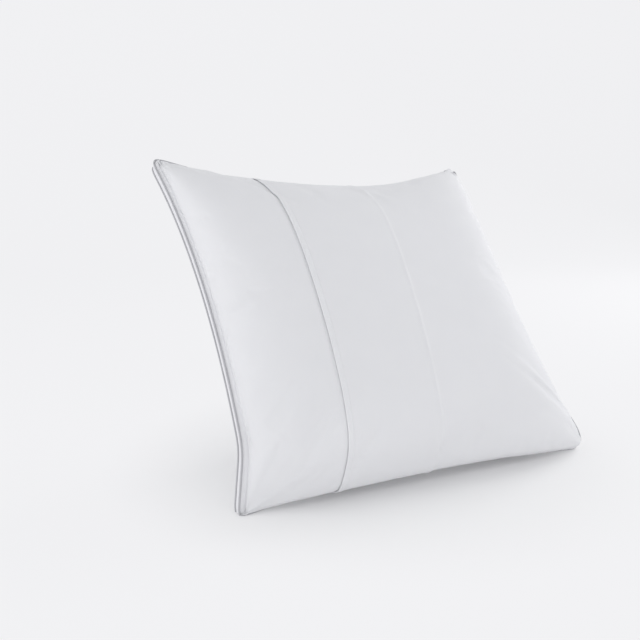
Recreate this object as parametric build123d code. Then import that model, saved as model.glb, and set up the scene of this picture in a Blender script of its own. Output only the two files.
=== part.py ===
from build123d import *
from math import cos, pi, radians, sin, sqrt, tan
import os

# Bed pillow: a square cover with a narrow gusset, two piped edges and an overlapping
# opening up its front, over an inner case of loose fill. It stands on its lower edge and
# leans back on the foot that the fill makes where it slumps.
#
# Frame: +X to the pillow's right, -Y out of its front, +Z up. The origin is on the floor,
# in the flat sole of the foot, midway between the two bottom corners.
# All sizes are in millimetres and degrees.

# ---------------------------------------------------------------- driving dimensions
width = 650.0               # between the bottom corners, along the front seam
seam_height = 640.0         # of the side seam, measured along its bend
gusset_width = 20.0         # from the front seam line to the back seam line
corner_radius = 22.0        # of the cover's four corners

cover_cloth = 0.8           # cloth of the cover, with its turnings
case_cloth = 0.6            # cloth of the inner case
cloth_gap = 0.6             # between one layer and the next
back_turning = 6.0          # turned edge of the back panel, inside the gusset
case_seam_gap = 0.6         # between the two halves of the inner case
overcut = 1.0               # how far a hollow is cut past an open edge, to leave its rim whole
fill_margin = 3.0           # from the inner case's seam to the fill's own edge

piping_diameter = 4.0
piping_cloth = 0.5          # wall of the tape round the piping cord
piping_gap = 0.9            # from the piping to the edges sewn to it, with its bends
piping_join = 1.5           # opening where the two ends of a piping meet
cord_gap = 0.2              # between the piping cord and its cover

stand_left = 67.0           # lower stretch of the left side seam that stands upright
stand_right = 1.0           # the same at the right
bend_length = 60.0          # stretch over which each turns back
lean = 38.0                 # of the side seam from upright, just above the bend
lean_more = 11.0            # further lean gained from there to the top
top_sag = 19.7              # how far the middle of the top hangs

pull_left = 17.0            # how far the middle of each edge is drawn in
pull_right = 40.0
pull_top = 52.0
pull_bottom = 12.0

front_loft_top = 108.0      # swell of the front from the seam plane
front_loft_bottom = 78.0
opening_dip = 3.5           # shallow valley along the cover's open edge
opening_dip_width = 48.0

foot_reach = 218.0          # how far the slumped foot reaches back along the floor
foot_drop = 68.0            # how hard it presses, before the floor flattens it
back_loft = 22.0            # swell of the back behind the top seam
origin_behind_seam = 135.0  # from the front seam line back to the origin, in the sole

overlap_edge_top = 153.0    # free edge of the overlap, from the left edge
overlap_edge_bottom = 150.0
underlap_edge_top = 350.0   # hidden edge of the underlap, from the left edge
underlap_edge_bottom = 318.0

label_length = 45.0         # blank care label, along the right-hand seam of the back
label_reach = 26.0          # and over the back panel
label_cloth = 0.4
label_height = 400.0        # of its lower end, along the side seam

# ------------------------------------------------------------- values worked out once
piping_radius = piping_diameter / 2
piping_bore = piping_radius - piping_cloth
edge_inset = piping_radius + piping_gap
corner_cut = corner_radius * (1 - 1 / sqrt(2))
underlap_depth = cover_cloth + cloth_gap
case_depth_front = underlap_depth + cover_cloth + cloth_gap
case_depth_back = cover_cloth + cloth_gap
fill_depth_front = case_depth_front + case_cloth + cloth_gap
fill_depth_back = case_depth_back + case_cloth + cloth_gap
case_seam_depth = gusset_width / 2

# ------------------------------------------------------- how the shapes are drawn
front_edge_power = 6.0      # how square the front's swell is, from side to side
front_end_power = 3.0       # and from bottom to top
back_edge_power = 2.5       # the same for the back, from side to side
corner_power = 20.0         # how near the corners their rounding starts
toe_reach = 0.55            # pulls of the back's middle line, from its bottom seam to its
toe_drop = 0.5              # top seam: reaches are shares of foot_reach, drops are shares
sole_reach = 1.65           # of foot_drop, heights are shares of the top seam's height
sole_drop = 1.5
heel_reach = 1.25
heel_height = 0.30
nape_height = 0.80
slope_step = 0.004          # for normals, as a share of the half sides
spline_tolerance = 0.02
side_columns = 41           # points that a face is drawn through, across
side_rows = 25              # and upwards
piping_points = 41          # bends of a piping's line along one side
piping_crowding = 0.8       # how much closer together they are near the corners
piping_first = 0.05         # the first bend beside its join, as a share of the half width
bend_share = 0.45           # of the shorter run beside a bend, the length its arc takes up
floor_block = 2000.0        # larger than the pillow every way

FRONT, BACK = 1, -1         # which way a surface's normal has to be turned


# ---------------------------------------------------------------- the seam outline
def one_side(s, stand_height):
    """Place and lean of one side seam at the length s along it, as (y, z, angle)."""
    y, z, angle = 0.0, piping_radius, 0.0
    upper_length = seam_height - stand_height - bend_length
    for length, turn in ((stand_height, 0), (bend_length, lean), (upper_length, lean_more)):
        run = s if length == upper_length else min(s, length)
        swing = radians(turn) * run / length
        chord = run if swing == 0 else run * sin(swing / 2) / (swing / 2)
        y += chord * sin(angle + swing / 2)
        z += chord * cos(angle + swing / 2)
        angle += swing
        s -= run
    return y, z, angle


def side_profile(s, u):
    """Place and lean of the seam plane at the length s, between its two side seams."""
    share = (u + 1) / 2
    share = share * share * (3 - 2 * share)
    left, right = one_side(s, stand_left), one_side(s, stand_right)
    return tuple(a + (b - a) * share for a, b in zip(left, right))


def bottom_rise(u):
    """How far the bottom edge is drawn up at u, from its corners inwards."""
    return pull_bottom * (1 - u * u) + corner_cut * abs(u) ** corner_power


lowest_rise = min(bottom_rise(i / 100) for i in range(101))


def outline(u, v, inset):
    """Place on the flat seam plane: x across, and s along the side seam."""
    pull_side = pull_left if u < 0 else pull_right
    corner = corner_cut * abs(v) ** corner_power
    half_width = width / 2 - inset - pull_side * (1 - v * v) - corner
    low = inset + bottom_rise(u) - lowest_rise
    high = seam_height - inset - pull_top * (1 - u * u) - corner_cut * abs(u) ** corner_power
    return u * half_width, low + (high - low) * (v + 1) / 2


def seam_point(u, v, inset, depth):
    """Point of the seam plane, the given depth behind the front seam line."""
    x, s = outline(u, v, inset)
    y, z, angle = side_profile(s, u)
    z -= top_sag * (1 - u * u) * (v + 1) / 2
    return Vector(x, y + depth * cos(angle), z - depth * sin(angle))


# ---------------------------------------------------------------- the two swellings
def edge_from_left(v, top, bottom):
    """Value of u for a line that runs up the front, given in mm from the left edge."""
    from_left = bottom + (top - bottom) * (v + 1) / 2
    return 2 * from_left / width - 1


def left_side(v):
    return -1.0


def right_side(v):
    return 1.0


def overlap_edge(v):
    return edge_from_left(v, overlap_edge_top, overlap_edge_bottom)


def underlap_edge(v):
    return edge_from_left(v, underlap_edge_top, underlap_edge_bottom)


def front_point(u, v, inset=0.0):
    """Point of the front's outer surface, or of one drawn in by the inset all round."""
    edge = seam_point(u, v, edge_inset + inset, 0)
    angle = side_profile(outline(u, v, edge_inset + inset)[1], u)[2]
    loft = front_loft_bottom + (front_loft_top - front_loft_bottom) * (v + 1) / 2
    swell = loft * (1 - abs(u) ** front_edge_power) * (1 - abs(v) ** front_end_power)
    away = (u - overlap_edge(v)) * width / 2 / opening_dip_width
    swell -= opening_dip * (1 - v * v) * (1 - u * u) / (1 + away * away)
    return edge + Vector(0, -swell * cos(angle), swell * sin(angle))


def bezier(points, t):
    """Point at t on the curve that the points pull."""
    while len(points) > 1:
        points = [a + (b - a) * t for a, b in zip(points, points[1:])]
    return points[0]


def back_point(u, v, inset=0.0):
    """Point of the back's outer surface, before the floor flattens its foot."""
    edge = seam_point(u, v, edge_inset + inset, gusset_width)
    low = seam_point(u, -1, edge_inset + inset, gusset_width)
    high = seam_point(u, 1, edge_inset + inset, gusset_width)
    pulls = [
        low,
        Vector(low.X, foot_reach * toe_reach, -foot_drop * toe_drop),
        Vector(low.X, foot_reach * sole_reach, -foot_drop * sole_drop),
        Vector(low.X, foot_reach * heel_reach, high.Z * heel_height),
        Vector(low.X, high.Y + back_loft, high.Z * nape_height),
        high,
    ]
    middle = bezier(pulls, (v + 1) / 2)
    share = 1 - abs(u) ** back_edge_power
    return Vector(edge.X, edge.Y + (middle.Y - edge.Y) * share, edge.Z + (middle.Z - edge.Z) * share)


# ------------------------------------------------------------ faces, blocks, layers
def under(surface, depth, facing, inset=0.0):
    """Surface that lies the given depth under another one, along its normal."""
    def point(u, v):
        right = surface(min(u + slope_step, 1), v, inset)
        left = surface(max(u - slope_step, -1), v, inset)
        upper = surface(u, min(v + slope_step, 1), inset)
        lower = surface(u, max(v - slope_step, -1), inset)
        normal = (right - left).cross(upper - lower).normalized()
        return surface(u, v, inset) - normal * depth * facing
    return point


def behind_seam(depth, inset):
    """Surface that lies the given depth behind the front seam line."""
    def point(u, v):
        return seam_point(u, v, edge_inset + inset, depth)
    return point


def stations(count, low=-1.0, high=1.0):
    """Values from low to high, closer together towards both ends."""
    middle, half = (low + high) / 2, (high - low) / 2
    return [middle - half * cos(pi * i / (count - 1)) for i in range(count)]


def skin(surface, left=left_side, right=right_side, low=-1.0, high=1.0):
    """One smooth face of the surface, between two lines that run up it."""
    grid = []
    for v in stations(side_rows, low, high):
        grid.append([surface(u, v) for u in stations(side_columns, left(v), right(v))])
    return Face.make_surface_from_array_of_points(grid, tol=spline_tolerance, min_deg=3)


def block(near, far):
    """Closed solid between two faces that have four matching edges each."""
    sides = []
    for edge in near.edges():
        place = edge @ 0.5
        match = min(far.edges(), key=lambda other: (other @ 0.5 - place).length)
        sides.append(Face.make_surface_from_curves(edge, match))
    return Solid(Shell([near, far] + sides))


def layer(surface, facing, depth, thickness, left=left_side, right=right_side, low=-1.0, high=1.0):
    """Sheet of cloth at a depth under a surface."""
    outer = skin(under(surface, depth, facing), left, right, low, high)
    inner = skin(under(surface, depth + thickness, facing), left, right, low, high)
    return block(outer, inner)


def above(level):
    """Everything above a level, as one large box."""
    return Pos(0, 0, level + floor_block / 2) * Box(floor_block, floor_block, floor_block)


def front_block(depth, seam_depth):
    """Space from under the front surface to a face that far behind the front seam."""
    return block(skin(under(front_point, depth, FRONT)), skin(behind_seam(seam_depth, depth)))


def back_block(depth, seam_depth, inset):
    """Space from under the back surface to a face that far behind the front seam."""
    back = skin(under(back_point, depth, BACK))
    return block(back, skin(behind_seam(seam_depth, inset))) & above(depth)


# ----------------------------------------------------------------------- the cover
def make_underlap():
    return layer(front_point, FRONT, underlap_depth, cover_cloth, right=underlap_edge)


def make_overlap():
    return layer(front_point, FRONT, 0, cover_cloth, left=overlap_edge)


def make_back_panel():
    turned_to = gusset_width - back_turning
    hollow = back_block(cover_cloth, turned_to - overcut, cover_cloth)
    return back_block(0, turned_to, 0) - hollow


def side_line(side, inset, depth):
    """Smooth line along one side of the seam outline."""
    places = {
        "bottom": lambda t: (t, -1.0),
        "right": lambda t: (1.0, t),
        "top": lambda t: (t, 1.0),
        "left": lambda t: (-1.0, t),
    }
    place = places[side]
    return Edge.make_spline([seam_point(*place(t), inset, depth) for t in stations(side_rows)])


def make_gusset():
    """One strip right round the pillow, between the two pipings."""
    near, far = edge_inset, gusset_width - edge_inset
    corners = ((0, near), (0, far), (cover_cloth, far), (cover_cloth, near))
    faces = []
    for side in ("bottom", "right", "top", "left"):
        lines = [side_line(side, inset, depth) for inset, depth in corners]
        for line, following in zip(lines, lines[1:] + lines[:1]):
            faces.append(Face.make_surface_from_curves(line, following))
    return Solid(Shell(faces))


def make_label():
    """Blank care label, caught in the back seam and lying on the back panel."""
    low = 2 * label_height / seam_height - 1
    high = low + 2 * label_length / seam_height
    edge = 1 - 2 * edge_inset / width
    inner = edge - 2 * label_reach / width
    depth = -cloth_gap - label_cloth
    return layer(back_point, BACK, depth, label_cloth, lambda v: inner, lambda v: edge, low, high)


# ---------------------------------------------------------------------- the piping
def piping_path(depth):
    """Line of a piping: right round the pillow, open where its two ends meet."""
    even = [2 * i / (piping_points - 1) - 1 for i in range(piping_points)]
    crowded = stations(piping_points)
    run = [a + (b - a) * piping_crowding for a, b in zip(even, crowded)]
    half = [t for t in run if t > piping_first]
    join = piping_join / width
    points = [seam_point(join, -1, 0, depth)]
    points += [seam_point(u, -1, 0, depth) for u in half]
    points += [seam_point(1, v, 0, depth) for v in run[1:]]
    points += [seam_point(-u, 1, 0, depth) for u in run[1:]]
    points += [seam_point(-1, -v, 0, depth) for v in run[1:]]
    points += [seam_point(-u, -1, 0, depth) for u in reversed(half[:-1])]
    points.append(seam_point(-join, -1, 0, depth))
    radii = []
    for before, here, after in zip(points, points[1:], points[2:]):
        turn = radians((here - before).get_angle(after - here))
        shorter = min((here - before).length, (after - here).length)
        radii.append(bend_share * shorter / tan(turn / 2))
    return FilletPolyline(*points, radius=radii)


def make_piping_cover(depth):
    path = piping_path(depth)
    section = Circle(piping_radius) - Circle(piping_bore)
    return sweep(Plane(origin=path @ 0, z_dir=path % 0) * section, path=path)


def make_piping_cord(depth):
    path = piping_path(depth)
    section = Circle(piping_bore - cord_gap)
    return sweep(Plane(origin=path @ 0, z_dir=path % 0) * section, path=path)


# ---------------------------------------------------------- the inner case and fill
def make_case_front():
    outer = front_block(case_depth_front, case_seam_depth)
    return outer - front_block(case_depth_front + case_cloth, case_seam_depth + overcut)


def make_case_back():
    seam_depth = case_seam_depth + case_seam_gap
    outer = back_block(case_depth_back, seam_depth, case_depth_front)
    hollow_inset = case_depth_front + case_cloth
    return outer - back_block(case_depth_back + case_cloth, seam_depth - overcut, hollow_inset)


def make_fill():
    inset = fill_depth_front + fill_margin
    front = skin(under(front_point, fill_depth_front, FRONT, inset))
    back = skin(under(back_point, fill_depth_back, BACK, inset))
    return block(front, back) & above(fill_depth_back)


# ---------------------------------------------------------------- writing the nodes
makers = {
    "front_underlap_panel": make_underlap,
    "front_overlap_panel": make_overlap,
    "back_panel": make_back_panel,
    "gusset_band": make_gusset,
    "front_piping_cover": lambda: make_piping_cover(0),
    "front_piping_cord": lambda: make_piping_cord(0),
    "back_piping_cover": lambda: make_piping_cover(gusset_width),
    "back_piping_cord": lambda: make_piping_cord(gusset_width),
    "inner_case_front": make_case_front,
    "inner_case_back": make_case_back,
    "fill": make_fill,
    "care_label": make_label,
}

os.makedirs("parts", exist_ok=True)
for name, make in makers.items():
    solid = Pos(0, -origin_behind_seam, 0) * make()
    center = solid.center(CenterOf.MASS)
    print(f"{name}: {len(solid.solids())} solid, {solid.volume / 1000:.1f} cm3, centre {center}")
    export_step(solid, f"parts/{name}.step")
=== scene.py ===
# %% [markdown]
# # A square bed pillow with piped edges
#
# The pillow is a white cotton cover over an inner pillow. The cover has a narrow band all
# round between two grey pipings, and its front is in two parts that overlap, so that the
# inner pillow can be put in. It stands on its lower edge and leans back on its filling.
#
# The design holds the sizes and the pieces. Here each cloth piece gets its real look. The
# design is loaded first, because every piece below rides on it and stays close to its box.

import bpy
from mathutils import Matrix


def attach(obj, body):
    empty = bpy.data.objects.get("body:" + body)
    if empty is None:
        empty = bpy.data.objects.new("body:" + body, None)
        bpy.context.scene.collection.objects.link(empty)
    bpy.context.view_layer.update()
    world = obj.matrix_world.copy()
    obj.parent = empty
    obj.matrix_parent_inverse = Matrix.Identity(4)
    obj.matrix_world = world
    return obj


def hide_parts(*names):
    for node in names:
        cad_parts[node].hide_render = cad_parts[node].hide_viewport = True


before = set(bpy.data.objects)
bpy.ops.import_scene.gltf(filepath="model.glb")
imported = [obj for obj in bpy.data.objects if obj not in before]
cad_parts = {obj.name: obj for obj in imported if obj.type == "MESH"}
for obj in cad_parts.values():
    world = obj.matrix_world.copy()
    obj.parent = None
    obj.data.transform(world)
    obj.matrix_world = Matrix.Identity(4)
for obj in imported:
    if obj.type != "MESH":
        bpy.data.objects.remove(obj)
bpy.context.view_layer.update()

# %% Tools
from math import pi, radians

import bmesh
import bpy
import numpy as np
from mathutils import Vector

# %% [markdown]
# ## Sizes
#
# All sizes are in metres. Most repeat the design's, but the band is narrower and the
# pipings are thinner, and the seams roll under the bulge instead of staying in one plane. A
# flat pillow is a square pattern, so a place on it is given by u across and v up, each from
# -1 to 1. What the filling does to the pattern is then a formula, the same on every run.

# %% Sizes of the pattern
WIDTH = 0.650
SEAM = 0.640            # length of the side seam, from bottom to top
BAND = 0.014            # between the front and back seams
PIPING = 0.0015         # radius of a piping, pressed into its seam
CLOTH = 0.0008
EDGE = 0.0014           # how far inside the seam line the cloth is caught
STRIP = 0.008           # flat strip beside the left seam, half as wide along the top
CORNER_CUT = 0.0064     # how much a corner is rounded off
CORNER_SHARP = 0.35     # the share of that at the bottom left, the sharpest corner
CORNER_POWER = 50.0     # makes the outline turn smoothly through its corners
PULL_LEFT, PULL_RIGHT = 0.017, 0.0436       # how far filling draws in the middle of each edge
PULL_TOP, PULL_BOTTOM = 0.0518, 0.0136
SEAM_BACK = 0.135       # from the front seam line back to the origin
SAG = 0.0197            # how far the middle of the top hangs
EASE_RIGHT = 0.003      # the right side is filled out a little wider than its pattern
ROLL_BACK, ROLL_IN = 0.006, 0.002   # how far a seam rolls under the bulge beside it

# %% How the pillow leans
LEAN, LEAN_MORE = 37.6, 12.3        # degrees, at the bend and gained above it
BEND_LEFT, BEND_RIGHT = 0.097, 0.030    # length up each side seam to the middle of the bend
BEND_HALF = 0.030                   # half the length that the bend takes up
LEAN_END = 0.600                    # length up the seam at which all of LEAN_MORE is gained
STEP = 0.001                        # of the sums that add up the line


def side_line(bend_height):
    """Lengths along one side seam, with the place and lean at each."""
    length = np.arange(-0.02, 0.75, STEP)
    turn = np.clip((length - bend_height + BEND_HALF) / (2 * BEND_HALF), 0, 1)
    more = np.clip((length - bend_height) / (LEAN_END - bend_height), 0, 1.2)
    lean = radians(LEAN) * turn**2 * (3 - 2 * turn) + radians(LEAN_MORE) * more**2
    back, height = np.cumsum(np.sin(lean)) * STEP, np.cumsum(np.cos(lean)) * STEP
    start = np.searchsorted(length, 0)
    return length, back - back[start], height - height[start], lean


SIDES = side_line(BEND_LEFT), side_line(BEND_RIGHT)


def side_seam(length, u):
    """How far back, how high and how leaned the seam plane is, between the two sides."""
    share = np.clip((u + 1) / 2, 0, 1)
    share = share**2 * (3 - 2 * share)
    left, right = ([np.interp(length, side[0], row) for row in side[1:]] for side in SIDES)
    return [a + (b - a) * share for a, b in zip(left, right)]


# %% The seam plane
def corner_cut(u, v):
    """How much the corner nearest to a place is rounded off."""
    return CORNER_CUT * np.where((u < 0) & (v < 0), CORNER_SHARP, 1)


def rise(u):
    return PULL_BOTTOM * (1 - u * u) + corner_cut(u, -1) * abs(u) ** CORNER_POWER


LOWEST = rise(np.linspace(-1, 1, 401)).min()


def smooth_step(x, low, high):
    t = np.clip((x - low) / (high - low), 0, 1)
    return t * t * (3 - 2 * t)


def rolled(u, v):
    """How far the seam has rolled under the bulge, at the right side and at both ends."""
    bottom = smooth_step(-v, 0.97, 1) * smooth_step(u, -0.96, -0.85)
    top = smooth_step(v, 0.97, 1) * smooth_step(u, -0.85, -0.60)
    return smooth_step(u, 0.95, 1), bottom + top


def seam_plane(u, v, inset=0.0, depth=0.0):
    """Points of the plane that the seams lie in, and the way out of the front there."""
    pull = np.where(u < 0, PULL_LEFT, PULL_RIGHT)
    half = WIDTH / 2 - inset - pull * (1 - v * v) - corner_cut(u, v) * abs(v) ** CORNER_POWER
    half = half + np.where(u < 0, 0, EASE_RIGHT)
    low = inset + rise(u) - LOWEST
    high = SEAM - inset - PULL_TOP * (1 - u * u) - CORNER_CUT * abs(u) ** CORNER_POWER
    up = (v + 1) / 2
    back, height, lean = side_seam(low + (high - low) * up, u)
    height = height - SAG * (1 - u * u) * up + PIPING
    out = np.stack([0 * lean, -np.cos(lean), np.sin(lean)], -1)
    right, ends = rolled(u, v)
    height = height - ROLL_IN * ends * (v > 0)
    flat = np.stack([u * half - ROLL_IN * right * (1 + ends), back - SEAM_BACK, height], -1)
    return flat - out * (depth + ROLL_BACK * (right + ends))[..., None], out


low_corner, _ = seam_plane(np.array([-1.0]), np.array([-1.0]))
high_corner, _ = seam_plane(np.array([-1.0]), np.array([1.0]))
print("left seam runs from", low_corner.round(3)[0], "to", high_corner.round(3)[0])

# %% [markdown]
# ## The two swellings
#
# Filling pushes the front out most in the middle and not at all along the seams. How
# quickly it rises beside each edge is what makes a pillow look plump or slack, so each
# edge has its own pair of powers. The back is drawn as one curve from the bottom seam, along
# the floor as a foot, and up to the top seam, and it fades to the seam at both sides. Six
# pulls bend that curve: the two seams, the toe, the sole, the heel and the nape.

# %% The front
LOFT_TOP, LOFT_BOTTOM = 0.113, 0.0756
LOFT_MORE = 0.0037      # added halfway up
LEFT_POWERS, RIGHT_POWERS = (1.5, 0.36), (5.6, 1.04)
END_POWER, BOTTOM_POWER, TOP_POWER = 2.9, 0.30, 0.67


def front_base(u, v):
    """The front before its wrinkles."""
    flat, out = seam_plane(u, v, EDGE)
    across = np.clip(abs(u) / (1 - 2 * np.where(u < 0, STRIP, 0) / WIDTH), 0, 1)
    along = np.clip(abs(v) / (1 - 2 * np.where(v > 0, STRIP / 2, 0) / SEAM), 0, 1)
    sides = [(1 - across**inner) ** outer for inner, outer in (LEFT_POWERS, RIGHT_POWERS)]
    side = np.where(u < 0, *sides)
    end = (1 - along**END_POWER) ** np.where(v < 0, BOTTOM_POWER, TOP_POWER)
    up = (v + 1) / 2
    loft = LOFT_BOTTOM + (LOFT_TOP - LOFT_BOTTOM) * up + LOFT_MORE * 4 * up * (1 - up)
    return flat + out * (loft * side * end)[..., None]


# %% The back
TOE_BACK, SOLE_BACK, HEEL_BACK = 0.120, 0.360, 0.272    # behind the front seam
TOE_DROP, SOLE_DROP = 0.034, 0.102                      # under the floor
HEEL_HEIGHT, NAPE_HEIGHT = 0.30, 0.80                   # shares of the top seam's height
NAPE_BACK = 0.022                                       # behind the top seam
BACK_POWER = 2.5
ON_FLOOR = 0.0002                   # the lowest that the back may come
CHOOSE = (1, 5, 10, 10, 5, 1)       # weights of a curve with six pulls


def back_base(u, v):
    """The back before its wrinkles, flat where it stands on the floor."""
    edge, _ = seam_plane(u, v, EDGE, BAND)
    low, _ = seam_plane(u, -np.ones_like(v), EDGE, BAND)
    high, _ = seam_plane(u, np.ones_like(v), EDGE, BAND)
    start, top_y, top_z = -SEAM_BACK, high[..., 1], high[..., 2]
    toe, sole, heel = start + TOE_BACK, start + SOLE_BACK, start + HEEL_BACK
    pulls_y = low[..., 1], toe, sole, heel, top_y + NAPE_BACK, top_y
    heel_z, nape_z = HEEL_HEIGHT * top_z, NAPE_HEIGHT * top_z
    pulls_z = low[..., 2], -TOE_DROP, -SOLE_DROP, heel_z, nape_z, top_z
    t = (v + 1) / 2
    weights = [c * t**i * (1 - t) ** (5 - i) for i, c in enumerate(CHOOSE)]
    middle_y = sum(w * p for w, p in zip(weights, pulls_y))
    middle_z = sum(w * p for w, p in zip(weights, pulls_z))
    share = 1 - abs(u) ** BACK_POWER
    y = edge[..., 1] + (middle_y - edge[..., 1]) * share
    z = edge[..., 2] + (middle_z - edge[..., 2]) * share
    return np.stack([edge[..., 0], y, np.maximum(z, ON_FLOOR)], -1)


# %% [markdown]
# ## Measuring along the cloth
#
# A grid spaced evenly in u would be stretched long on the steep sides of the bulge. A tape
# measure laid along the surface gives places at even distances instead, so that every mesh
# face is nearly square, as cloth simulation and shading both want.

# %% A tape measure
class Tape:
    """Reads distances along a line of the surface, and gives the place at a distance."""

    def __init__(self, line):
        self.places = np.linspace(-1, 1, 4001)
        points = line(self.places)
        steps = np.linalg.norm(np.diff(points, axis=0), axis=1)
        self.distances = np.concatenate([[0], np.cumsum(steps)])
        self.length = self.distances[-1]

    def place(self, distance):
        return np.interp(distance, self.distances, self.places)

    def read(self, place):
        return np.interp(place, self.places, self.distances)


ACROSS = Tape(lambda u: front_base(u, np.full_like(u, 0.1)))
UP = Tape(lambda v: front_base(np.full_like(v, 0.2), v))
print(f"the front measures {ACROSS.length:.3f} across and {UP.length:.3f} up, over its swell")


def spread(length, step, fine, reach=0.018):
    """Distances from 0 to a length, with a step of their own near both ends."""
    ends = np.arange(0, reach, fine)
    count = max(2, round((length - 2 * reach) / step))
    middle = np.linspace(reach, length - reach, count + 1)
    return np.concatenate([ends, middle, length - ends[::-1]])


# %% [markdown]
# ## The inner pillow, filled by cloth simulation
#
# The inner pillow is one closed bag. It starts as two grids, one for each side, whose
# borders are bridged. Cloth simulation then lets pressure push it out while its seams are
# held. The cloth is allowed to be a little larger than its pattern, so it wrinkles as real
# cloth does, and no point may move further than a cap.

# %% Making a grid and placing it
def add_grid(bm, columns, rows, place):
    """A grid in a bmesh, with its points where place(u, v) puts them, in rows."""
    made = bmesh.ops.create_grid(bm, x_segments=len(columns) - 1, y_segments=len(rows) - 1, size=1)
    points = np.array([vert.co[:2] for vert in made["verts"]])
    i = np.rint((points[:, 0] + 1) / 2 * (len(columns) - 1)).astype(int)
    j = np.rint((points[:, 1] + 1) / 2 * (len(rows) - 1)).astype(int)
    for vert, co in zip(made["verts"], place(columns[i], rows[j])):
        vert.co = co
    return made["verts"], i, j


def finish_mesh(bm, name):
    """A smoothly shaded object at the origin from a bmesh."""
    for face in bm.faces:
        face.smooth = True
    mesh = bpy.data.meshes.new(name)
    bm.to_mesh(mesh)
    bm.free()
    piece = bpy.data.objects.new(name, mesh)
    bpy.context.scene.collection.objects.link(piece)
    return piece


# %% The bag
CELL = 0.0062
columns = ACROSS.place(spread(ACROSS.length, CELL, 0.008))
rows = UP.place(spread(UP.length, CELL, 0.008))
bm = bmesh.new()
front_verts, front_i, front_j = add_grid(bm, columns, rows, front_base)
front_border = [e for e in bm.edges if e.is_boundary]
back_verts, back_i, back_j = add_grid(bm, columns, rows, back_base)
known = set(front_border)
back_border = [e for e in bm.edges if e.is_boundary and e not in known]
bmesh.ops.bridge_loops(bm, edges=front_border + back_border)
bmesh.ops.recalc_face_normals(bm, faces=bm.faces)
bm.verts.index_update()
front_order = [v.index for v in front_verts]
back_order = [v.index for v in back_verts]
held = sorted({v.index for e in front_border + back_border for v in e.verts})
bag = finish_mesh(bm, "inner_pillow")
print("bag:", len(bag.data.vertices), "points,", len(held), "held at the seams")


# %% Filling it
FRAMES = 20
CAP = 0.006             # no point moves further than this
SPARE_CLOTH = 0.016     # how much larger than its pattern the cloth is, as a share


def points_of(mesh):
    co = np.empty(len(mesh.vertices) * 3, np.float32)
    mesh.vertices.foreach_get("co", co)
    return co.reshape(-1, 3).astype(float)


def fill_bag(piece, held_points):
    """Where cloth simulation takes each point of the bag."""
    group = piece.vertex_groups.new(name="seams")
    group.add(held_points, 1.0, "REPLACE")
    cloth = piece.modifiers.new("Cloth", "CLOTH")
    cloth.settings.quality = 5
    cloth.settings.mass = 0.25
    cloth.settings.tension_stiffness = 18
    cloth.settings.compression_stiffness = 12
    cloth.settings.shear_stiffness = 4
    cloth.settings.bending_stiffness = 0.35
    cloth.settings.use_pressure = True
    cloth.settings.uniform_pressure_force = 3.0
    cloth.settings.shrink_min = -SPARE_CLOTH
    cloth.settings.vertex_group_mass = "seams"
    cloth.settings.effector_weights.gravity = 0
    cloth.collision_settings.use_collision = False
    scene = bpy.context.scene
    scene.frame_start, scene.frame_end = 1, FRAMES
    cloth.point_cache.frame_start, cloth.point_cache.frame_end = 1, FRAMES
    for number in range(1, FRAMES + 1):
        scene.frame_set(number)
    filled = piece.evaluated_get(bpy.context.evaluated_depsgraph_get())
    moved = points_of(filled.data)
    piece.modifiers.remove(cloth)
    scene.frame_set(1)
    return moved


start = points_of(bag.data)
moved = fill_bag(bag, held)
shift = moved - start
reach = np.linalg.norm(shift, axis=1, keepdims=True)
shift *= CAP / (CAP + reach)
print(f"filling moved the cloth {reach.mean() * 1000:.1f} mm on average before the cap")
bag.data.vertices.foreach_set("co", (start + shift).astype(np.float32).ravel())
bag.data.update()


# %% [markdown]
# ## Reading the filled shape
#
# The cover lies on the inner pillow, so its panels take their shape from it. What the
# simulation did is kept as a shift at each grid point. A smooth reading between those
# points is added to the formula, so the seams stay exact and the wrinkles stay soft.

# %% A smooth reading between points
def weights_of(t):
    """The four weights of a smooth curve through evenly numbered points."""
    return (
        -0.5 * t + t**2 - 0.5 * t**3,
        1 - 2.5 * t**2 + 1.5 * t**3,
        0.5 * t + 2 * t**2 - 1.5 * t**3,
        -0.5 * t**2 + 0.5 * t**3,
    )


class Side:
    """The front or the back: its formula, with the simulation's shift added."""

    def __init__(self, base, order, i, j, facing):
        self.base, self.facing = base, facing
        self.shift = np.zeros((len(rows), len(columns), 3))
        self.shift[j, i] = shift[order]

    def at(self, u, v):
        x, y = np.interp(u, columns, range(len(columns))), np.interp(v, rows, range(len(rows)))
        i, j = np.floor(x).astype(int), np.floor(y).astype(int)
        found = np.zeros(u.shape + (3,))
        for a, wx in enumerate(weights_of(x - i)):
            for b, wy in enumerate(weights_of(y - j)):
                near_i = np.clip(i + a - 1, 0, len(columns) - 1)
                near_j = np.clip(j + b - 1, 0, len(rows) - 1)
                found += (wx * wy)[..., None] * self.shift[near_j, near_i]
        return self.base(u, v) + found

    def out(self, u, v, step=0.004):
        """The way out of the cloth."""
        across = self.at(np.minimum(u + step, 1), v) - self.at(np.maximum(u - step, -1), v)
        along = self.at(u, np.minimum(v + step, 1)) - self.at(u, np.maximum(v - step, -1))
        normal = np.cross(across, along) * self.facing
        return normal / np.linalg.norm(normal, axis=-1, keepdims=True)


FRONT = Side(front_base, front_order, front_i, front_j, 1)
BACK = Side(back_base, back_order, back_i, back_j, -1)

# %% [markdown]
# The bag itself is the inner pillow: it lies just under the cover, so it is drawn in.

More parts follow.
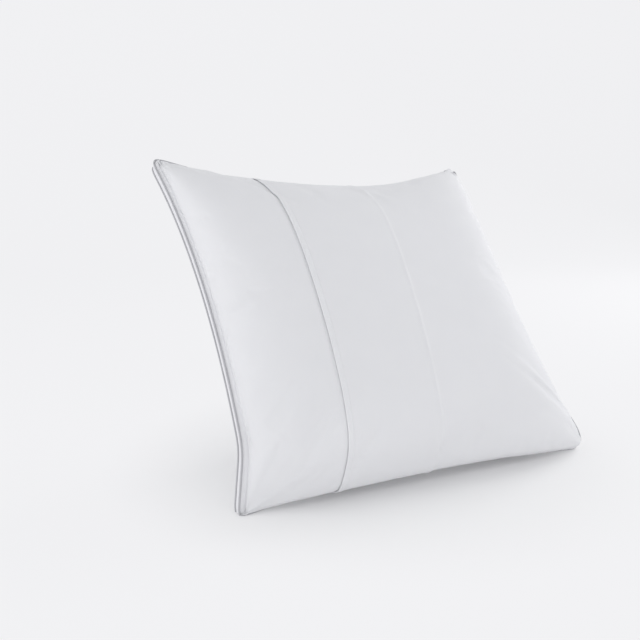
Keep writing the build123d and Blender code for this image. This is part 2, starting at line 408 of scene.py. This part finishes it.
# %% Drawing the bag in
UNDER_COVER = 0.0032
inner_bm = bmesh.new()
inner_bm.from_mesh(bag.data)
bmesh.ops.smooth_vert(
    inner_bm, verts=inner_bm.verts, factor=0.3, use_axis_x=True, use_axis_y=True, use_axis_z=True
)
inner_bm.normal_update()
for vert in inner_bm.verts:
    vert.co -= vert.normal * UNDER_COVER
    vert.co.z = max(vert.co.z, UNDER_COVER)
inner_bm.to_mesh(bag.data)
inner_bm.free()
for polygon in bag.data.polygons:
    polygon.use_smooth = True
bag.data.update()
print(f"the inner pillow is drawn in by {UNDER_COVER * 1000:.1f} mm")

# %% [markdown]
# ## Folds
#
# Where cloth is gathered into a seam it makes small folds that start at the seam and fade
# into the face. A fold is drawn along a few points on the pattern: a soft ridge with a
# shallow groove beside it, highest in its middle and gone at its far end.


# %% Drawing a fold
GROOVE, GROOVE_AWAY = 0.6, 1.7      # its depth as a share, and how many widths to the side


def fold(a, b, path, height, width):
    """Height of one fold at the places a across and b up, in metres on the cloth."""
    total = np.zeros_like(a)
    nearest = np.full_like(a, 1e9)
    spans = list(zip(path, path[1:]))
    for number, ((x0, y0), (x1, y1)) in enumerate(spans):
        dx, dy = x1 - x0, y1 - y0
        t = np.clip(((a - x0) * dx + (b - y0) * dy) / (dx * dx + dy * dy), 0, 1)
        away = np.hypot(a - x0 - t * dx, b - y0 - t * dy)
        side = np.sign(dx * (b - y0) - dy * (a - x0))
        along = (number + t) / len(spans)
        shape = np.exp(-((away / width) ** 2))
        groove = GROOVE * np.exp(-((side * away / width - GROOVE_AWAY) ** 2))
        value = height * (shape - groove) * (1 - along) ** 0.7 * np.minimum(1, along * 8 + 0.25)
        closer = away < nearest
        total = np.where(closer, value, total)
        nearest = np.where(closer, away, nearest)
    return total


# %% Where the folds are
L, T = ACROSS.length, UP.length
CORNER_FOLDS = [
    ([(0.004, T - 0.004), (0.016, T - 0.030), (0.022, T - 0.075)], 0.0040, 0.0050),
    ([(0.006, T - 0.004), (0.034, T - 0.018), (0.070, T - 0.052)], 0.0030, 0.0060),
    ([(0.002, T - 0.020), (0.012, T - 0.060), (0.014, T - 0.120)], 0.0022, 0.0040),
    ([(L - 0.002, T - 0.006), (L - 0.024, T - 0.010), (L - 0.056, T - 0.016)], 0.0085, 0.0085),
    ([(L - 0.010, T - 0.022), (L - 0.034, T - 0.030), (L - 0.070, T - 0.036)], 0.0030, 0.0050),
    ([(L - 0.004, T - 0.008), (L - 0.020, T - 0.034), (L - 0.036, T - 0.080)], 0.0035, 0.0055),
    ([(L - 0.002, T - 0.026), (L - 0.014, T - 0.060), (L - 0.018, T - 0.110)], 0.0020, 0.0045),
    ([(L - 0.004, 0.006), (L - 0.030, 0.018), (L - 0.072, 0.024)], 0.0036, 0.0050),
    ([(L - 0.004, 0.008), (L - 0.018, 0.040), (L - 0.024, 0.085)], 0.0028, 0.0050),
    ([(0.004, 0.004), (0.022, 0.014), (0.055, 0.018)], 0.0030, 0.0045),
    ([(0.004, 0.006), (0.014, 0.030), (0.016, 0.070)], 0.0022, 0.0042),
]
chance = np.random.default_rng(7)
TOP_FOLDS = []
for place in np.linspace(0.10, L - 0.06, 15) + chance.uniform(-0.014, 0.014, 15):
    slant = chance.uniform(-0.016, 0.020)
    length = chance.uniform(0.030, 0.075)
    path = [(place, T - 0.002), (place + slant, T - length / 2), (place + 2.2 * slant, T - length)]
    TOP_FOLDS.append((path, chance.uniform(0.0006, 0.0018), chance.uniform(0.0035, 0.0065)))


def folds(a, b):
    """All the folds of the front together."""
    return sum(fold(a, b, *each) for each in CORNER_FOLDS + TOP_FOLDS)


print(len(CORNER_FOLDS), "folds in the corners and", len(TOP_FOLDS), "along the top")


CREASE_DEPTH, CREASE_WIDTH = 0.0011, 0.0022


def strip_crease(edge):
    """The soft crease where the flat strip beside a seam meets the bulge."""
    return -CREASE_DEPTH * np.exp(-(((edge - STRIP) / CREASE_WIDTH) ** 2))


# %% [markdown]
# ## The front of the cover
#
# The right-hand panel lies over the left-hand one. Its free edge is a rolled hem, 8 mm
# wide and a little thicker than the cloth, and the left-hand panel runs on underneath
# to a hem of its own, which shows through as a faint ridge. Each panel is a sheet of
# its own. The right-hand one has its columns set out from its free edge, closest together
# there, so that its hem stays crisp.

# %% Where the two hems run
OVERLAP_TOP, OVERLAP_BOTTOM = -0.529, -0.555
UNDERLAP_TOP, UNDERLAP_BOTTOM = 0.072, -0.050
HEM = 0.008


def hem_line(v, top, bottom):
    return bottom + (top - bottom) * (v + 1) / 2


def overlap_hem(v):
    return hem_line(v, OVERLAP_TOP, OVERLAP_BOTTOM)


def underlap_hem(v):
    return hem_line(v, UNDERLAP_TOP, UNDERLAP_BOTTOM)


# %% The heights of the two panels above the filled shape
COVER_HEIGHT, HEM_HEIGHT, LAP_HEIGHT, HIDDEN_HEIGHT = 0.0002, 0.0007, 0.0009, 0.0010
STITCH_DEPTH = 0.0003
UNDER_HEIGHT, TUCK_DEPTH, VALLEY_DEPTH = 0.0004, 0.0009, 0.0004


def faded(edge, b):
    """How much of its height a panel has: none at the seams, and less towards both ends."""
    return smooth_step(np.minimum(edge, np.minimum(0.3 * b, 0.1 * (T - b))), 0, 0.006)


def overlap_height(u, v):
    a, b = ACROSS.read(u), UP.read(v)
    hem = a - ACROSS.read(overlap_hem(v))
    under = a - ACROSS.read(underlap_hem(v))
    rolled = smooth_step(hem, -0.0002, 0.0012)
    ridge = rolled * (1 - smooth_step(hem, HEM - 0.0014, HEM + 0.0012))
    lying_over = 1 - smooth_step(under, -0.0006, 0.0014)
    hidden_hem = np.exp(-(((under + 0.003) / 0.0026) ** 2))
    stitch_groove = np.exp(-(((hem - HEM - 0.0008) / 0.0009) ** 2))
    height = COVER_HEIGHT + HEM_HEIGHT * ridge + LAP_HEIGHT * lying_over * rolled
    height = height + HIDDEN_HEIGHT * hidden_hem - STITCH_DEPTH * stitch_groove
    return COVER_HEIGHT + height * faded(L - a, b) + folds(a, b)


def underlap_height(u, v):
    a, b = ACROSS.read(u), UP.read(v)
    hem = a - ACROSS.read(overlap_hem(v))
    tucked = smooth_step(hem, -0.004, 0.0)
    valley = np.exp(-(((hem + 0.0010) / 0.0035) ** 2))
    height = UNDER_HEIGHT - TUCK_DEPTH * tucked - VALLEY_DEPTH * valley
    height *= faded(a, b)
    creased = strip_crease(a) * smooth_step(b, 0.004, 0.02)
    return height + (folds(a, b) + creased) * (1 - 0.6 * tucked)


# %% Making a panel
def add_wall(piece, thickness):
    """Gives a sheet its thickness, inwards."""
    wall = piece.modifiers.new("Wall", "SOLIDIFY")
    wall.thickness = thickness
    wall.offset = -1


def lay_uvs(uv_layer, verts, along, across):
    """Puts each point's two lengths, in metres, into the UV map."""
    for vert, *lengths in zip(verts, along, across):
        for loop in vert.link_loops:
            loop[uv_layer].uv = lengths


def make_panel(name, side, left, right, column_steps, row_steps, height):
    """A sheet of the cover between two lines that run up it, with its UVs in metres."""
    share = column_steps / column_steps[-1]
    places_v = UP.place(row_steps)
    bm = bmesh.new()
    uv_layer = bm.loops.layers.uv.new("UVMap")
    steps = np.arange(len(share)), np.arange(len(places_v))
    flat = {}

    def place(i, j):
        v = places_v[j]
        start, end = ACROSS.read(left(v)), ACROSS.read(right(v))
        a = start + (end - start) * share[i]
        u = ACROSS.place(a)
        flat["a"], flat["b"] = a, UP.read(v)
        return side.at(u, v) + side.out(u, v) * height(u, v)[..., None]

    verts, _, _ = add_grid(bm, steps[0], steps[1], place)
    lay_uvs(uv_layer, verts, flat["a"], flat["b"])
    if side.facing < 0:
        bmesh.ops.reverse_faces(bm, faces=bm.faces)
    piece = finish_mesh(bm, name)
    add_wall(piece, CLOTH)
    print(name, "has", len(piece.data.polygons), "faces")
    return piece


def left_edge(v):
    return -np.ones_like(v)


def right_edge(v):
    return np.ones_like(v)


# %% The two front panels
FACE, FACE_AT_SEAM = 0.0031, 0.0016     # sizes of the mesh faces
HEM_COLUMNS = 0, 0.3, 0.6, 0.9, 1.3, 2, 3, 4.5, 6, 6.8, 7.4, 8, 8.5, 9, 9.6, 10.5, 12, 14    # mm
HEM_END = 0.0155        # where the even columns take over
ROW_STEPS = spread(T, FACE, FACE_AT_SEAM)
overlap_length = ACROSS.length - ACROSS.read(overlap_hem(np.zeros(1)))[0]
body_steps = spread(overlap_length, FACE, FACE_AT_SEAM)
overlap_steps = np.concatenate([np.array(HEM_COLUMNS) / 1000, body_steps[body_steps > HEM_END]])
overlap = make_panel(
    "front_overlap", FRONT, overlap_hem, right_edge, overlap_steps, ROW_STEPS, overlap_height
)
underlap_length = ACROSS.read(underlap_hem(np.zeros(1)))[0]
tuck = ACROSS.read(overlap_hem(np.zeros(1)))[0]
shown = spread(tuck, 0.0026, 0.0013)
hidden = np.arange(tuck + 0.004, underlap_length, 0.008)
underlap_steps = np.concatenate([shown, hidden, [underlap_length]])
underlap = make_panel(
    "front_underlap", FRONT, left_edge, underlap_hem, underlap_steps, ROW_STEPS, underlap_height
)


# %% [markdown]
# ## The back of the cover
#
# The back is one plain panel. It bears the weight on the floor, so it is flat there, and
# away from the floor it has the same folds as the front.

# %% The back panel
def back_height(u, v):
    a, b = ACROSS.read(u), UP.read(v)
    lifted = BACK.at(u, v)[..., 2]
    edge = np.minimum(np.minimum(a, L - a), np.minimum(b, T - b))
    return folds(a, b) * smooth_step(lifted, 0.03, 0.10) + strip_crease(edge) * 0.8


BACK_FACE, BACK_FACE_AT_SEAM = 0.0042, 0.0020
back_columns, back_rows = (spread(size, BACK_FACE, BACK_FACE_AT_SEAM) for size in (L, T))
back = make_panel(
    "back_panel_cloth", BACK, left_edge, right_edge, back_columns, back_rows, back_height
)
SOLE_CLEAR = 0.0009     # how far above the floor the sole's outside is kept
for vertex in back.data.vertices:
    vertex.co.z = max(vertex.co.z, SOLE_CLEAR)

# %% [markdown]
# ## The band and the pipings
#
# The seams run right round the pillow. A ring of evenly spaced places on the outline
# serves the band and both pipings. Each is a long grid bent round that ring and joined to
# itself, which leaves a UV map that runs along the strip, as a woven tape's threads do.


# %% The ring
def ring_places(step):
    """Places u, v all the way round the outline, at even distances."""
    t = np.linspace(-1, 1, 1501)[:-1]
    one = np.ones_like(t)
    u = np.concatenate([t, one, -t, -one])
    v = np.concatenate([-one, t, one, -t])
    points, _ = seam_plane(u, v)
    closed = np.vstack([points, points[:1]])
    distance = np.concatenate([[0], np.cumsum(np.linalg.norm(np.diff(closed, axis=0), axis=1))])
    count = round(distance[-1] / step)
    wanted = np.linspace(0, distance[-1], count + 1)
    u_closed, v_closed = np.append(u, u[0]), np.append(v, v[0])
    return np.interp(wanted, distance, u_closed), np.interp(wanted, distance, v_closed), wanted


RING_STEP = 0.0022
RING_U, RING_V, RING_LENGTH = ring_places(RING_STEP)
print(f"each seam is {RING_LENGTH[-1]:.3f} m round")


def ring_frame(depth):
    """Points of the ring, with the ways along, out of the front and out of the edge."""
    points, out = seam_plane(RING_U, RING_V, 0.0, depth)
    points[-1], out[-1] = points[0], out[0]
    along = np.roll(points[:-1], -1, axis=0) - np.roll(points[:-1], 1, axis=0)
    along = np.vstack([along, along[:1]])
    along /= np.linalg.norm(along, axis=1, keepdims=True)
    for _ in range(3):
        inner = (along + np.roll(along[:-1], 1, 0)[np.r_[0:len(along) - 1, 0]]) / 2
        along = inner / np.linalg.norm(inner, axis=1, keepdims=True)
    sideways = np.cross(along, out)
    sideways /= np.linalg.norm(sideways, axis=1, keepdims=True)
    return points, along, out, sideways


SECTION = 0.001         # how far apart the sections lie in the UV map


def make_strip(name, sections, place):
    """A grid bent round the ring: place(i, j) gives points for ring step i, section step j."""
    bm = bmesh.new()
    uv_layer = bm.loops.layers.uv.new("UVMap")
    verts, i, j = add_grid(bm, np.arange(len(RING_U)), np.arange(sections), place)
    lay_uvs(uv_layer, verts, RING_LENGTH[i], j * SECTION)
    bmesh.ops.remove_doubles(bm, verts=bm.verts, dist=1e-6)
    bmesh.ops.recalc_face_normals(bm, faces=bm.faces)
    return finish_mesh(bm, name)


# %% The two pipings
AROUND = 13         # points round the piping, the last on the first
PUCKER = 0.05       # how much its thickness varies, as a share


def make_piping(name, depth):
    points, _, out, sideways = ring_frame(depth)
    count = len(points)
    ripple = np.random.default_rng(3).normal(0, 1, count)
    thrice = np.r_[ripple, ripple, ripple]      # so that the average runs on past both ends
    ripple = np.convolve(thrice, np.ones(9) / 9, "same")[count:2 * count]
    ripple[-1] = ripple[0]

    def place(i, j):
        angle = 2 * pi * (j % (AROUND - 1)) / (AROUND - 1)
        radius = PIPING * (1 + PUCKER * ripple[i])
        turned = sideways[i] * np.cos(angle)[:, None] + out[i] * np.sin(angle)[:, None]
        return points[i] + turned * radius[:, None]

    return make_strip(name, AROUND, place)


front_piping = make_piping("front_piping", 0.0)
back_piping = make_piping("back_piping", BAND)

# %% The band
BAND_SECTIONS = 9
BAND_BULGE, BAND_WAVE, BAND_SINK = 0.0011, 0.0004, 0.0006
BAND_START = 0.7        # where it leaves a piping, as a share of the piping's radius


def make_band():
    front_points, _, _, sideways = ring_frame(PIPING * BAND_START)
    back_points, _, _, _ = ring_frame(BAND - PIPING * BAND_START)
    waves = np.random.default_rng(5)
    phase = waves.uniform(0, 2 * pi, 6)
    rounds = waves.integers(9, 60, 6)
    angle = 2 * pi * RING_LENGTH / RING_LENGTH[-1]
    ripple = sum(np.sin(n * angle + p) for n, p in zip(rounds, phase)) / 6

    def place(i, j):
        share = (j / (BAND_SECTIONS - 1))[:, None]
        arch = 4 * share * (1 - share)
        proud = BAND_BULGE * arch + BAND_WAVE * ripple[i][:, None] * arch - BAND_SINK
        return front_points[i] * (1 - share) + back_points[i] * share + sideways[i] * proud

    piece = make_strip("gusset", BAND_SECTIONS, place)
    add_wall(piece, CLOTH)
    return piece


band = make_band()
print("the band is", len(band.data.polygons), "faces, each piping", len(front_piping.data.polygons))

# %% [markdown]
# ## The care label
#
# A blank satin label is caught in the right-hand seam of the back. It lies on the panel and
# its free end lifts a little.

# %% The label
LABEL_LENGTH, LABEL_REACH, LABEL_HEIGHT = 0.045, 0.026, 0.400
LABEL_CLOTH = 0.0004
LABEL_OFF, LABEL_LIFT = 0.0010, 0.0030      # off the panel all over, and more at the free end
LABEL_COLUMNS, LABEL_ROWS = 12, 20


def label_place(i, j):
    across, along = i / LABEL_COLUMNS, j / LABEL_ROWS
    v = 2 * (LABEL_HEIGHT + LABEL_LENGTH * along) / SEAM - 1
    u = 1 - 2 * (EDGE + LABEL_REACH * (1 - across)) / WIDTH
    lift = LABEL_OFF + LABEL_LIFT * (1 - across) ** 2
    return BACK.at(u, v) + BACK.out(u, v) * lift[..., None]


bm = bmesh.new()
uv_layer = bm.loops.layers.uv.new("UVMap")
steps = np.arange(LABEL_COLUMNS + 1), np.arange(LABEL_ROWS + 1)
verts, i, j = add_grid(bm, *steps, label_place)
lay_uvs(uv_layer, verts, i * LABEL_REACH / LABEL_COLUMNS, j * LABEL_LENGTH / LABEL_ROWS)
bmesh.ops.reverse_faces(bm, faces=bm.faces)
label = finish_mesh(bm, "label")
add_wall(label, LABEL_CLOTH)
print("the label measures", LABEL_REACH * 1000, "by", LABEL_LENGTH * 1000, "mm flat")


# %% [markdown]
# ## Finishes
#
# Shader maths is easier to read as sums than as a net of nodes, so one small class stands
# for a number that varies over a surface. It adds a Math node for each operation.

# %% Shader maths
class Value:
    def __init__(self, finish, socket):
        self.finish, self.socket = finish, socket

    def math(self, operation, first, second=None):
        terms = [first] if second is None else [first, second]
        inputs = {number: term for number, term in enumerate(terms)}
        return self.finish.add("ShaderNodeMath", {"operation": operation}, inputs).out("Value")

    def __add__(self, other):
        return self.math("ADD", self, other)

    def __sub__(self, other):
        return self.math("SUBTRACT", self, other)

    def __rsub__(self, other):
        return self.math("SUBTRACT", other, self)

    def __mul__(self, other):
        return self.math("MULTIPLY", self, other)

    __radd__ = __add__
    __rmul__ = __mul__

    def sine(self):
        return self.math("SINE", self)


class Added:
    def __init__(self, finish, node):
        self.finish, self.node = finish, node

    def out(self, name):
        return Value(self.finish, self.node.outputs[name])


class Finish:
    """A material that is built up node by node."""

    def __init__(self, name):
        self.material = bpy.data.materials.new(name)
        self.material.use_nodes = True
        self.nodes = self.material.node_tree.nodes
        self.links = self.material.node_tree.links
        self.shader = self.nodes["Principled BSDF"]

    def add(self, kind, settings, inputs):
        node = self.nodes.new(kind)
        for name, value in settings.items():
            setattr(node, name, value)
        self.set_inputs(node, inputs)
        return Added(self, node)

    def set_inputs(self, node, inputs):
        for name, value in inputs.items():
            if isinstance(value, Value):
                self.links.new(value.socket, node.inputs[name])
            else:
                node.inputs[name].default_value = value

    def set(self, **inputs):
        named = {name.replace("_", " "): value for name, value in inputs.items()}
        self.set_inputs(self.shader, named)

    def uv(self):
        return self.add("ShaderNodeUVMap", {"uv_map": "UVMap"}, {}).out("UV")

    def noise(self, place, scale, detail):
        inputs = {"Vector": place, "Scale": scale, "Detail": detail}
        return self.add("ShaderNodeTexNoise", {}, inputs).out("Fac")

    def bump(self, height, strength, distance):
        inputs = {"Height": height, "Strength": strength, "Distance": distance}
        return self.add("ShaderNodeBump", {}, inputs).out("Normal")

    def mix(self, factor, first, second):
        """A colour between two colours, whose sockets are numbers 6, 7 and output 2."""
        inputs = {"Factor": factor, 6: (*first, 1), 7: (*second, 1)}
        return self.add("ShaderNodeMix", {"data_type": "RGBA"}, inputs).out(2)


# %% [markdown]
# ## Cotton
#
# Percale is a plain weave of fine threads, so its surface is a tiny grid of warp and weft.
# The warp stands out a little more and gives the cloth a faint grain up the pillow. The UV
# map is in metres, so the weave has one scale on every panel. Its waves are coarser than
# real threads, which would be too fine to see.

# %% Cotton percale
THREADS = 2 * pi / 0.0009       # turns per metre of the weave's waves
GRAIN = (900, 45, 1)            # the grain is fine across and long upwards


def cotton(name, color, shade, grain_height, weave_height):
    finish = Finish(name)
    uv = finish.uv()
    parts = finish.add("ShaderNodeSeparateXYZ", {}, {"Vector": uv})
    warp = (parts.out("X") * THREADS).sine()
    weft = (parts.out("Y") * THREADS).sine()
    stretched = finish.add("ShaderNodeMapping", {}, {"Vector": uv, "Scale": GRAIN}).out("Vector")
    grain = finish.noise(stretched, 1.0, 3.0)
    soft = finish.noise(uv, 22.0, 2.0)
    height = warp * weft * weave_height + grain * grain_height
    tone = grain * 0.35 + soft * 0.65
    finish.set(
        Base_Color=finish.mix(tone, shade, color), Roughness=0.86 - grain * 0.06,
        Normal=finish.bump(height, 0.6, 0.0006),
        Sheen_Weight=0.12, Sheen_Roughness=0.5, Specular_IOR_Level=0.25,
    )
    return finish.material


percale = cotton("white percale", (0.865, 0.868, 0.885), (0.835, 0.838, 0.860), 0.7, 0.30)
band_cloth = cotton("white band cloth", (0.85, 0.85, 0.87), (0.81, 0.81, 0.84), 0.5, 0.30)
ticking = cotton("inner pillow ticking", (0.86, 0.855, 0.84), (0.80, 0.80, 0.78), 0.6, 0.45)

# %% [markdown]
# The piping is satin tape cut on the cross, so its ribs run slantwise round the cord.


# %% Satin
def satin(name, color, shade, ribs, slant):
    finish = Finish(name)
    uv = finish.uv()
    parts = finish.add("ShaderNodeSeparateXYZ", {}, {"Vector": uv})
    rib = ((parts.out("X") + parts.out("Y") * slant) * ribs).sine() * 0.5 + 0.5
    wear = finish.noise(uv, 60.0, 2.0)
    finish.set(
        Base_Color=finish.mix(wear * 0.6 + rib * 0.4, shade, color),
        Roughness=0.38 + wear * 0.15, Normal=finish.bump(rib, 0.5, 0.0002), Sheen_Weight=0.2,
    )
    return finish.material


GREY_RIBS, LABEL_RIBS = 2 * pi / 0.0012, 2 * pi / 0.0008      # turns per metre
grey_satin = satin("silver grey satin", (0.52, 0.52, 0.545), (0.42, 0.42, 0.44), GREY_RIBS, 0.9)
label_satin = satin("white label satin", (0.88, 0.88, 0.88), (0.82, 0.82, 0.83), LABEL_RIBS, 0.0)
print("finishes:", [material.name for material in bpy.data.materials])

# %% Giving each piece its finish and body
FINISHES = {
    bag: (ticking, "case_cloth", ["fill", "inner_case_front", "inner_case_back"]),
    overlap: (percale, "cover_cloth", ["front_overlap_panel"]),
    underlap: (percale, "cover_cloth", ["front_underlap_panel"]),
    back: (percale, "cover_cloth", ["back_panel"]),
    band: (band_cloth, "band_cloth", ["gusset_band"]),
    front_piping: (grey_satin, "piping_satin", ["front_piping_cover", "front_piping_cord"]),
    back_piping: (grey_satin, "piping_satin", ["back_piping_cover", "back_piping_cord"]),
    label: (label_satin, "label_tape", ["care_label"]),
}
for piece, (material, slot_name, nodes) in FINISHES.items():
    piece.data.materials.clear()
    piece.data.materials.append(material)
    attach(piece, "root")
    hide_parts(*nodes)

# %% [markdown]
# ## Studio
#
# White cotton on a pale ground needs very soft light, or its small folds turn harsh. A
# round pale floor that curves up into a low wall surrounds the pillow like a light tent,
# and large lamps stand at both sides and in front. Close to the pillow the floor is lit by
# the lamps, so that it takes a shadow. Further out it glows by itself, so that it is even.

# %% The floor
FLOOR_RADIUS, WALL_RADIUS, WALL_HEIGHT = 2.6, 1.4, 1.5
CURVE_STEPS = 12
GLOW_START, GLOW_END = 0.24, 0.50       # distances from the middle of the floor
bm = bmesh.new()
profile = [(0, 0), (FLOOR_RADIUS, 0)]
for step in range(1, CURVE_STEPS + 1):
    angle = pi / 2 * step / CURVE_STEPS
    profile.append((FLOOR_RADIUS + WALL_RADIUS * np.sin(angle), WALL_RADIUS * (1 - np.cos(angle))))
profile.append((FLOOR_RADIUS + WALL_RADIUS, WALL_RADIUS + WALL_HEIGHT))
points = [bm.verts.new((x, 0, z)) for x, z in profile]
edges = [bm.edges.new(pair) for pair in zip(points, points[1:])]
bmesh.ops.spin(
    bm, geom=points + edges, cent=(0, 0, 0), axis=(0, 0, 1), angle=2 * pi, steps=96, use_merge=True
)
bmesh.ops.remove_doubles(bm, verts=bm.verts, dist=1e-5)
bmesh.ops.recalc_face_normals(bm, faces=bm.faces)
floor = finish_mesh(bm, "floor")
ground = Finish("pale ground")
place = ground.add("ShaderNodeTexCoord", {}, {}).out("Object")
away = ground.add("ShaderNodeVectorMath", {"operation": "LENGTH"}, {0: place}).out("Value")
far = ground.add(
    "ShaderNodeMapRange", {"interpolation_type": "SMOOTHSTEP"},
    {"Value": away, "From Min": GLOW_START, "From Max": GLOW_END},
).out("Result")
ground.set(
    Base_Color=ground.mix(far, (0.80, 0.80, 0.80), (0.15, 0.15, 0.15)),
    Emission_Color=ground.mix(far, (0.11, 0.11, 0.1122), (0.75, 0.75, 0.765)),
    Emission_Strength=1.0, Roughness=0.9, Specular_IOR_Level=0.0,
)
floor.data.materials.append(ground.material)

# %% Light
world = bpy.data.worlds.new("studio")
bpy.context.scene.world = world
world.use_nodes = True
world.node_tree.nodes["Background"].inputs["Color"].default_value = (0.97, 0.98, 1.0, 1)
world.node_tree.nodes["Background"].inputs["Strength"].default_value = 0.57
AIM = Vector((0.0, 0.0, 0.22))


def add_lamp(name, place, size, power):
    lamp = bpy.data.lights.new(name, "AREA")
    lamp.shape = "RECTANGLE"
    lamp.size, lamp.size_y = size
    lamp.energy = power
    holder = bpy.data.objects.new(name, lamp)
    holder.location = place
    holder.rotation_euler = (AIM - Vector(place)).to_track_quat("-Z", "Y").to_euler()
    bpy.context.scene.collection.objects.link(holder)


add_lamp("left softbox", (-2.5, 0.2, 0.9), (1.6, 1.8), 13.5)
add_lamp("right softbox", (2.4, 0.5, 1.4), (1.6, 1.8), 28)
add_lamp("front softbox", (-0.4, -2.6, 1.9), (2.2, 1.6), 10)

# %% Camera
camera = bpy.data.objects.new("camera", bpy.data.cameras.new("camera"))
camera.location = (-0.7752, -1.2618, 0.5136)
camera.rotation_euler = (radians(90 - 10.705), 0, radians(-27.284))
camera.data.lens = 50.69
camera.data.sensor_width = 36
bpy.context.scene.collection.objects.link(camera)
bpy.context.scene.camera = camera
bpy.context.scene.view_settings.view_transform = "Standard"
